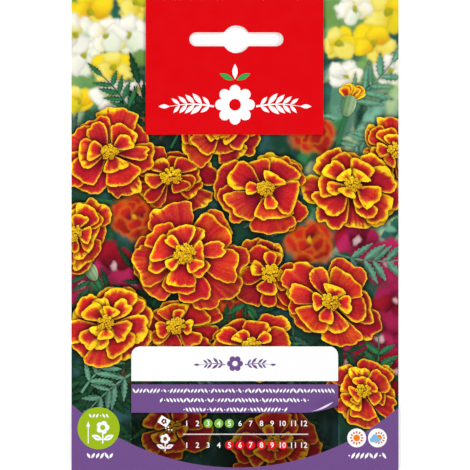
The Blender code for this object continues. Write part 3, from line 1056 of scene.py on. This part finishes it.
def leaf_rows(page, colour, seed, size, *rows):
    """Rows of small leaf marks and dots, each row given by its height and its two ends."""
    draw = random.Random(seed)
    for y, x, right in rows:
        while x < right:
            if draw.random() < 0.16:
                page.stamp(colour, disc(x, y, 0.24 * size, 6))
                x += 1.1 * size
            else:
                heading = math.radians(draw.choice((58, 122)))
                long = 2.2 * size * draw.uniform(0.7, 1.0)
                page.stamp(colour, pointed(x, y, long, 0.72 * size, heading))
                x += 1.25 * size


def borders(faces):
    """The closed loops of edges that bound the triangles."""
    edges = np.concatenate((faces[:, (0, 1)], faces[:, (1, 2)], faces[:, (2, 0)]))
    known = {tuple(edge) for edge in edges.tolist()}
    following = {a: b for a, b in known if (b, a) not in known}
    loops = []
    while following:
        start, index = following.popitem()
        loop = [start]
        while index != start:
            loop.append(index)
            index = following.pop(index)
        loops.append(loop)
    return loops


def placed(name, data):
    """A new object in the scene."""
    made = bpy.data.objects.new(name, data)
    bpy.context.scene.collection.objects.link(made)
    return made


def number_loops(text, height):
    """The outlines of a plain number, centred on the origin."""
    curve = bpy.data.curves.new("number", "FONT")
    curve.body = text
    curve.resolution_u = 3
    curve.offset = NUMBER_WEIGHT
    number = placed("number", curve)
    mesh = bpy.data.meshes.new_from_object(number.evaluated_get(bpy.context.evaluated_depsgraph_get()))
    mesh.calc_loop_triangles()
    places = np.round([vertex.co.xy for vertex in mesh.vertices], 4)
    points, joined = np.unique(places, axis=0, return_inverse=True)
    faces = joined.reshape(-1)[[triangle.vertices[:] for triangle in mesh.loop_triangles]]
    bpy.data.objects.remove(number)
    bpy.data.meshes.remove(mesh)
    middle, tall = (points.max(0) + points.min(0)) / 2, np.ptp(points[:, 1])
    return [(points[loop] - middle) * height / tall for loop in borders(faces)]


def calendar(page, rise=0.0):
    """Two rows of months, with the sowing and the flowering ones picked out, and a mark before each."""
    numbers = [number_loops(str(month), MONTH_HEIGHT) for month in range(1, 13)]
    rows = ((SOWING_Y + rise, SOWING_MONTHS, FRESH), (FLOWERING_Y + rise, FLOWERING_MONTHS, ALERT))
    for y, chosen, colour in rows:
        for month, loops in enumerate(numbers, 1):
            x = MONTH_X + MONTH_STEP * (month - 1)
            if month in chosen:
                page.stamp(colour, disc(x, y, MONTH_DISC, 22))
            page.stamp(BARE, *(loop + (x, y) for loop in loops))
    line_y = LINE_Y + rise
    page.stamp(SILVER, box(LINE_LEFT, line_y - LINE_HALF, LINE_RIGHT, line_y + LINE_HALF))
    marks = ((packet_mark, SOWING_Y, PACKET_MARK), (plant_mark, FLOWERING_Y, PLANT_MARK))
    for mark, y, (x, up, size) in marks:
        mark(page, x, y + rise + up, size)


def wave(page):
    """The purple foot of the page, under a wide arc."""
    reach = HALF_WIDTH + BLEED
    first, last = (math.asin((x - WAVE_X) / WAVE_RADIUS) - math.pi / 2 for x in (-reach, reach))
    crest = arc(WAVE_X, WAVE_Y, WAVE_RADIUS, first, last, WAVE_STEPS)
    foot = ((reach, -HALF_HEIGHT - BLEED), (-reach, -HALF_HEIGHT - BLEED))
    page.stamp(PURPLE, np.concatenate((crest, foot)))


def band_ink(points):
    """Purple that darkens to the foot of the curl."""
    x, y = points.T
    shadow = smooth(*SHADOW_X, x) * smooth(*SHADOW_Y, y)
    return mix(PURPLE, PURPLE * SHADOW_LEVEL, shadow), np.zeros((len(points), 3))


def leaf_band(page):
    """The purple band under the label, its lower right corner curling up, with rows of small leaf marks."""
    share = np.linspace(0, 1, 14)
    curl_x = PANEL_RIGHT + (CURL_LEFT - PANEL_RIGHT) * share
    curl_y = BAND_FOOT + CURL_RISE * (1 - share) ** 1.7
    corners = ((PANEL_LEFT, BAND_FOOT), (PANEL_LEFT, BAND_HEAD), (PANEL_RIGHT, BAND_HEAD))
    outline = np.concatenate((corners, np.column_stack((curl_x, curl_y))))
    page.append(Shape([outline], band_ink, shade=BAND_SHADE))
    glint_x = CURL_LEFT + GLINT_IN + GLINT_LENGTH * share
    glint_y = BAND_FOOT + GLINT_UP + GLINT_RISE * share**1.6
    half = GLINT_HALF * np.sin(math.pi * share**1.7)[:, None] * (0, 1)
    page.stamp(LILAC, ribbon(np.column_stack((glint_x, glint_y)), half))
    leaf_rows(page, BARE, 5, 1, *BAND_ROWS)


def head_block(page):
    """The red block at the head of a page."""
    page.stamp(RED, box(BLOCK_LEFT, BLOCK_FOOT, BLOCK_RIGHT, HALF_HEIGHT + BLEED), shade=BLOCK_SHADE)


def foot_marks(page):
    """The round marks at the foot of the page: the plant's height, and how much sun it takes."""
    page.stamp(LIME, disc(HEIGHT_X, HEIGHT_Y, HEIGHT_RADIUS))
    plant_mark(page, *HEIGHT_PLANT)
    arrow(page, *ARROW_TIP, math.pi / 2, ARROW_LENGTH, ARROW_HEAD)
    leaf_rows(page, BARE, 8, 1, HEIGHT_ROW)
    for x in (SUN_X, SHADE_X):
        page.stamp(BARE, disc(x, SUN_Y, SUN_RADIUS))
    sun_mark(page, *FULL_SUN, range(12))
    sun_mark(page, *HALF_SUN, range(-4, 5))
    cloud_mark(page, *CLOUD)
    leaf_rows(page, BARE, 9, CAPTION_SIZE, *CAPTIONS)


def front_page():
    """Every shape of the front print, from the lowest to the highest."""
    page = Page()
    picture(page)
    panel = box(PANEL_LEFT, -HALF_HEIGHT - BLEED, PANEL_RIGHT, VEIL_HEAD)
    page.append(Shape([panel], veil=DARK_VEIL))
    wave(page)
    leaf_band(page)
    label = box(PANEL_LEFT, LABEL_FOOT, PANEL_RIGHT, LABEL_HEAD, (0, 0, LABEL_RADIUS, LABEL_RADIUS))
    page.stamp(BARE, label, shade=LABEL_SHADE)
    head_block(page)
    calendar(page)
    for hand in (1, -1):
        sprig(page, *HEAD_SPRAY, BARE, hand)
        sprig(page, *LABEL_SPRAY, PURPLE, hand)
    crown(page, *CROWN)
    page.stamp(BARE, *rosette(*HEAD_FLOWER))
    page.stamp(PURPLE, *rosette(*LABEL_FLOWER))
    foot_marks(page)
    return page


def window(page):
    """A small picture on the back, in a frame of bare ground with a round-cornered opening."""
    left, foot, right, head = WINDOW
    page.depict(box(left - 1, foot - 1, right + 1, head + 1), backdrop)
    for number in range(WINDOW_LEAVES):
        x = left + (number + 0.5) * (right - left) / WINDOW_LEAVES
        leaf(page, 500 + number, x, foot + 6 + number % 3 * 7, 60 + 41 * number % 180, 20, number % 4)
    for number, place in enumerate(WINDOW_BLOOMS):
        bloom(page, 800 + number, *place, tilt=0.88)
    page.stamp(GROUND, page_box(BLEED), box(*WINDOW, (CORNER_RADIUS,) * 4))


def sowing_steps(page):
    """Three tiles: the seeds, their depth under the soil, and the spacing of the plants."""
    corner = np.array((STEP_NUMBER_IN - STEP_HALF, STEP_Y + STEP_HALF - STEP_NUMBER_DOWN))
    for number, colour in enumerate((LIME, PURPLE, RED), 1):
        x = (number - 2) * STEP_APART
        sides = (x - STEP_HALF, STEP_Y - STEP_HALF, x + STEP_HALF, STEP_Y + STEP_HALF)
        page.stamp(colour, box(*sides, (STEP_RADIUS,) * 4))
        page.stamp(BARE, *(loop + corner + (x, 0) for loop in number_loops(str(number), STEP_NUMBER)))
    packet_mark(page, *STEP_PACKET)
    page.stamp(BARE, box(*SOIL, (1, 1, 0, 0)))
    for x in SEEDS_X:
        page.stamp(PURPLE, pointed(x, SEEDS_Y, SEED_LENGTH, SEED_WIDTH, SEED_TURN))
    arrow(page, 0, STEP_Y, -math.pi / 2, *DEPTH_ARROW)
    for hand in (1, -1):
        plant_mark(page, STEP_APART + hand * PLANT_ASIDE, PLANT_Y, PLANT_SIZE)
        x = STEP_APART + hand * ASIDE_ARROW_X
        arrow(page, x, ASIDE_ARROW_Y, math.pi * (hand < 0), *ASIDE_ARROW)


def back_page():
    """Every shape of the back print: the photograph doesn't show it, so it is a plain layout of its kind."""
    page = Page()
    window(page)
    head_block(page)
    page.stamp(BARE, *rosette(*BACK_FLOWER))
    leaf_rows(page, PURPLE, 6, 1, *BACK_ROWS)
    sowing_steps(page)
    wave(page)
    page.stamp(PURPLE * BACK_PANEL_LEVEL, box(*BACK_PANEL, (CORNER_RADIUS,) * 4))
    calendar(page, BACK_CALENDAR_RISE)
    foot_marks(page)
    return page


def swell(x, y):
    """How full the pocket is at each point, from 0 at its seals to 1 at its fullest."""
    across = 1 - np.clip(np.abs(x) / POCKET_HALF, 0, 1) ** FLANK_POWER
    along = np.clip((y - POCKET_FOOT) / (POCKET_HEAD - POCKET_FOOT), 0, 1)
    rising = 1 - (1 - along / FULLEST) ** 3
    falling = (1 + np.cos(math.pi * (along - FULLEST) / (1 - FULLEST))) / 2
    return across * np.where(along < FULLEST, rising, falling)


def front_surface(points, depth=0.0):
    """The printed face of the front web, or the level at a depth inside it, in metres."""
    x, y = points.T
    z = SAG + 2 * WEB + SEAL_FILM + DOME * swell(x, y) - depth
    return np.column_stack((x, y, z)) * MM


def back_surface(points, depth=0.0):
    """The same of the back web: the page is read from below, so it is turned over."""
    x, y = points.T
    z = SAG * (1 - smooth(0, SAG_REACH, swell(x, y))) + depth
    return np.column_stack((-x, y, z)) * MM


def closed(points, faces, hole):
    """Adds a plain inner face and the walls between the two: its points, all triangles, and their kinds."""
    edges = np.concatenate([steps_round(loop) for loop in borders(faces)])
    rim = edges[:, 0]
    place = np.zeros(len(points), int)
    place[rim] = np.arange(len(rim))
    fill = lattice(PLAIN_STEP, np.random.default_rng(3))
    fill = clear_of(fill, points[rim], PLAIN_STEP * INNER_CLEARANCE)
    fill = fill[~inside(fill, [hole])]
    inner_points, inner = triangles_of(np.concatenate((points[rim], fill)), place[edges])
    inner = inner[~inside(inner_points[inner].mean(1), [hole])] + len(points)
    under = nearest(points[rim], inner_points)[0] + len(points)
    (a, b), (under_a, under_b) = edges.T, under[place[edges]].T
    walls = np.concatenate((np.column_stack((b, a, under_a)), np.column_stack((b, under_a, under_b))))
    kinds = np.repeat((0, 1, 2), (len(faces), len(inner), len(walls)))
    return inner_points, np.concatenate((faces, inner[:, ::-1], walls)), kinds


def piece_of(name, places, faces, kinds, materials):
    """A new smooth object, each face with the number of its material."""
    mesh = bpy.data.meshes.new(name)
    mesh.from_pydata(places, [], faces)
    mesh.polygons.foreach_set("material_index", kinds)
    mesh.shade_smooth()
    mesh.set_sharp_from_angle(angle=math.radians(40))
    for material in materials:
        mesh.materials.append(material)
    return placed(name, mesh)


# The bake map's margin, and where it holds the inner face and the cut edges, each by its foot and its size.
MAP_MARGIN = 0.002
INNER_AT, INNER_SIZE = (0.71, 0.01), 0.4
EDGES_AT, EDGES_SIZE = (0.71, 0.5), (0.28, 0.02)


def bake_map(points, faces, kinds):
    """A flat map of a web: the print takes most of it, the inner face and the cut edges a strip each."""
    share = (points + (HALF_WIDTH, HALF_HEIGHT)) / (2 * HALF_HEIGHT)
    spread = share[faces] * (1 - 2 * MAP_MARGIN) + MAP_MARGIN
    spread[kinds == 1] = spread[kinds == 1] * INNER_SIZE + INNER_AT
    count = (kinds == 2).sum() // 2
    corners = np.array((((1, 1), (0, 1), (0, 0)), ((1, 1), (0, 0), (1, 0))))
    run = np.column_stack((np.arange(count) / count, np.zeros(count)))
    strip = corners[:, None] * (1 / count, 1) + run[:, None]
    spread[kinds == 2] = strip.reshape(-1, 3, 2) * EDGES_SIZE + EDGES_AT
    return spread


def web_piece(name, page, surface, materials):
    """One web as a closed solid: its print, its plain inner face and its cut edges."""
    hole = slot_outline()
    points, faces, centres, owner = lay_out(page, hole)
    inner_points, every, kinds = closed(points, faces, hole)
    places = np.concatenate((surface(points), surface(inner_points, WEB)))
    piece = piece_of(name, places, every, kinds, materials)
    inks, streaks = np.ones((len(every), 3, 4)), np.zeros((len(every), 3, 3))
    inks[: len(faces), :, :3], streaks[: len(faces)] = inked(page, points, faces, centres, owner)
    spread = bake_map(np.concatenate((points, inner_points)), every, kinds)
    attributes = piece.data.attributes
    attributes.new("ink", "FLOAT_COLOR", "CORNER").data.foreach_set("color", inks.ravel())
    attributes.new("streak", "FLOAT_VECTOR", "CORNER").data.foreach_set("vector", streaks.ravel())
    piece.data.uv_layers.new(name="OFBake").data.foreach_set("uv", spread.ravel())
    return piece


class Nodes:
    """Short ways to add and join the nodes of a material or a world."""

    def __init__(self, owner, shader="Principled BSDF"):
        owner.use_nodes = True
        self.owner = owner
        self.tree = owner.node_tree
        self.shader = self.tree.nodes[shader]

    def fill(self, node, inputs):
        """Sets or links a node's inputs, given by name or number."""
        for key, value in inputs.items():
            if isinstance(value, bpy.types.NodeSocket):
                self.tree.links.new(value, node.inputs[key])
            else:
                node.inputs[key].default_value = value

    def add(self, kind, inputs=None, **settings):
        """The outputs of a new node."""
        node = self.tree.nodes.new("ShaderNode" + kind)
        for key, value in settings.items():
            setattr(node, key, value)
        self.fill(node, inputs or {})
        return node.outputs

    def maths(self, operation, *values):
        return self.add("Math", dict(enumerate(values)), operation=operation)[0]

    def noise(self, scale, detail=2.0, where=None):
        where = where or self.add("TexCoord")["Object"]
        return self.add("TexNoise", {"Vector": where, "Scale": scale, "Detail": detail})["Fac"]

    def spread(self, value, to_low, to_high, low=0.3, high=0.7):
        return self.add("MapRange", dict(enumerate((value, low, high, to_low, to_high))))[0]

    def scaled(self, colour, factor):
        return self.add("VectorMath", {0: colour, "Scale": factor}, operation="SCALE")[0]

    def bump(self, height, strength, distance):
        return self.add("Bump", {"Height": height, "Strength": strength, "Distance": distance})[0]

    def finish(self, **inputs):
        """Fills the shader's inputs, and returns the material or world."""
        self.fill(self.shader, {key.replace("_", " "): value for key, value in inputs.items()})
        return self.owner


def print_material():
    """Inks under a satin film: streaks along the petals, a fine grain, and the film's slight unevenness."""
    made = Nodes(bpy.data.materials.new("printed_laminate"))
    inks = made.add("Attribute", attribute_name="ink")["Color"]
    streaks = made.add("Attribute", attribute_name="streak")["Vector"]
    x, y, strength = made.add("SeparateXYZ", {0: streaks})
    fibre = made.noise(1.0, 3.0, made.add("CombineXYZ", {0: x, 1: y})[0])
    grain = made.spread(made.noise(3200.0, 1.0), 0.98, 1.02)
    level = made.maths("MULTIPLY_ADD", made.spread(fibre, -0.22, 0.22), strength, grain)
    speckle = made.spread(made.noise(1300.0), -0.5, 0.5)
    warmth = made.maths("MULTIPLY_ADD", speckle, strength, 1.0)
    red = made.maths("MULTIPLY_ADD", warmth, 0.2, 0.8)
    tinge = made.scaled(made.add("CombineXYZ", {0: red, 1: warmth, 2: warmth})[0], level)
    colour = made.add("VectorMath", {0: inks, 1: tinge}, operation="MULTIPLY")[0]
    rough = made.spread(made.noise(160.0), 0.21, 0.27)
    bump = made.bump(made.noise(1100.0, 3.0), 0.12, 0.00004)
    return made.finish(Base_Color=colour, Roughness=rough, Specular_IOR_Level=0.4, Normal=bump)


def fibre_material(name, colour, scale):
    """Bare paper, husk or seed coat: short fibres, paler and darker."""
    made = Nodes(bpy.data.materials.new(name))
    fibre = made.noise(scale, 4.0)
    tint = made.scaled(colour, made.spread(fibre, 0.86, 1.0))
    rough = made.spread(fibre, 0.55, 0.75)
    return made.finish(Base_Color=tint, Roughness=rough, Normal=made.bump(fibre, 0.3, 0.00005))


def packet_webs():
    inner = fibre_material("inner_paper", (0.74, 0.73, 0.69), 900.0)
    cut = fibre_material("cut_paper", (0.82, 0.8, 0.75), 2500.0)
    materials = (print_material(), inner, cut)
    for side, page, surface in (("front", front_page(), front_surface), ("back", back_page(), back_surface)):
        piece = web_piece(f"{side}_print", page, surface, materials)
        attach(piece, "root")
        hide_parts(f"{side}_web")


def ring_skin(rings, start):
    """Faces that join equal rings of points, given as (count, sides, 3), with a cap at each end."""
    count, sides = rings.shape[:2]
    index = start + np.arange(count * sides).reshape(count, sides)
    following = np.roll(index, -1, axis=1)
    walls = np.stack((index[:-1], following[:-1], following[1:], index[1:]), axis=2)
    return [*walls.reshape(-1, 4).tolist(), index[0, ::-1].tolist(), index[-1].tolist()]


def achene_rings(draw):
    """The seed's body along +X from its foot: ribbed, a little bent, pressed flat."""
    share = np.linspace(0, 1, ACHENE_RINGS)
    radius = np.interp(share, *zip(*ACHENE_PROFILE)) * ACHENE_WIDTH / 2
    rib = 1 - 0.1 * (np.arange(ACHENE_SIDES) % 2)
    bend = draw.uniform(-0.12, 0.12) * np.sin(share * math.pi)
    y, z = np.moveaxis(radius[:, None, None] * toward(around(ACHENE_SIDES)) * rib[:, None], 2, 0)
    x = np.repeat(share[:, None] * ACHENE_LENGTH, ACHENE_SIDES, axis=1)
    return np.stack((x, y + bend[:, None], z * ACHENE_FLATTEN), axis=2)


def scale_rings(aside, length, draw):
    """One scale of the tuft: a thin blade that starts in the body's blunt end."""
    share = np.linspace(0, 1, 7)[:, None]
    half = SCALE_WIDTH / 2 * (0.5 + 0.5 * np.sin(share * math.pi * 0.9)) * (1 - 0.8 * share**3)
    middle_z = draw.uniform(-0.02, 0.02) + 0.05 * draw.uniform(-1, 1) * share**2
    y = np.sin(aside) * share * length + half * (1, 0, -1, 0)
    z = middle_z + SCALE_THICKNESS / 2 * (1.1 - share) * (0, 1, 0, -1)
    x = ACHENE_LENGTH - SCALE_ROOT + share * length + 0 * z
    return np.stack((x, y, z), axis=2)


def seed_frame(node):
    """Where a seed of the CAD lies: the foot of its body, its direction, its height and its length."""
    points = np.array([node.matrix_world @ vertex.co for vertex in node.data.vertices]) / MM
    middle = points[:, :2].mean(0)
    around_middle = points[:, :2] - middle
    axis = np.linalg.svd(around_middle, full_matrices=False)[2][0]
    along = around_middle @ axis
    aside = np.abs(around_middle @ (-axis[1], axis[0]))
    if aside[along > along.max() - 1.5].max() < aside[along < along.min() + 1.5].max():
        axis, along = -axis, -along
    height = (points[:, 2].max() + points[:, 2].min()) / 2
    return middle + axis * along.min(), axis, height, np.ptp(along)


def seed_piece(name, node, materials):
    """One seed, finer than the CAD's and in its place: its dark body and the pale scales of its tuft."""
    draw = random.Random(name)
    foot, axis, height, length = seed_frame(node)
    reach = length - ACHENE_LENGTH + SCALE_ROOT
    parts = [achene_rings(draw)]
    for fan, share in ((-1, 0.97), (0, 1.0), (1, 0.95), (-0.5, 0.5), (0.5, 0.45)):
        parts.append(scale_rings(SCALE_FAN * fan, reach * share * draw.uniform(0.9, 1.0), draw))
    faces, kinds, start = [], [], 0
    for number, rings in enumerate(parts):
        skin = ring_skin(rings, start)
        faces += skin
        kinds += [min(number, 1)] * len(skin)
        start += rings.shape[0] * rings.shape[1]
    x, y, z = np.concatenate([rings.reshape(-1, 3) for rings in parts]).T[..., None]
    level = foot + x * axis + y * (-axis[1], axis[0])
    return piece_of(name, np.column_stack((level, height + z)) * MM, faces, kinds, materials)


def seeds():
    body = fibre_material("seed_coat", (0.05, 0.038, 0.03), 1800.0)
    tuft = fibre_material("tuft_scale", (0.62, 0.5, 0.3), 2500.0)
    for name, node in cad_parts.items():
        if name.startswith("seed_"):
            piece = seed_piece(f"{name}_fine", node, (body, tuft))
            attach(piece, "root")
            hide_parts(name)


def floor():
    made = Nodes(bpy.data.materials.new("pale_floor"))
    tone = made.spread(made.noise(8.0), 0.95, 0.97)
    made.finish(Base_Color=tone, Roughness=0.9)
    material = made.finish(Emission_Color=FLOOR_LIGHT, Emission_Strength=FLOOR_GLOW)
    signs = ((-1, -1), (1, -1), (1, 1), (-1, 1))
    corners = [(x * FLOOR_REACH, y * FLOOR_REACH, -FLOOR_DROP) for x, y in signs]
    piece_of("floor", corners, [(0, 1, 2, 3)], [0], [material])


def lights():
    """Four large soft lamps round the packet, out of the camera's mirror direction, and a pale room.

    Under the floor the room is white, so that a view from below or past the floor has a white ground too.
    """
    for number, (azimuth, power) in enumerate(LAMPS, 1):
        lamp = bpy.data.lights.new(f"lamp_{number}", "AREA")
        lamp.shape = "DISK"
        lamp.size = LAMP_SIZE
        lamp.energy = power
        made = placed(lamp.name, lamp)
        made.location = (*(LAMP_OUT * toward(math.radians(azimuth))), LAMP_HEIGHT)
        made.rotation_euler = made.location.to_track_quat("Z", "Y").to_euler()
    room = Nodes(bpy.data.worlds.new("room"), "Background")
    up = room.add("SeparateXYZ", {0: room.add("TexCoord")["Generated"]})[2]
    walls = room.spread(up, WALLS, CEILING, 0.35, 0.95)
    below = room.maths("LESS_THAN", up, 0.0)
    colour = room.maths("MULTIPLY_ADD", below, UNDERSIDE - WALLS, walls)
    bpy.context.scene.world = room.finish(Color=colour)


def camera():
    """Straight above the packet, its height filling the frame."""
    data = bpy.data.cameras.new("camera")
    data.type = "ORTHO"
    data.ortho_scale = 2 * HALF_HEIGHT * MM * FRAME_FILL
    made = placed("camera", data)
    made.location.z = CAMERA_HEIGHT
    bpy.context.scene.camera = made


camera()
lights()
floor()
packet_webs()
seeds()
bpy.context.scene.view_settings.view_transform = "Standard"
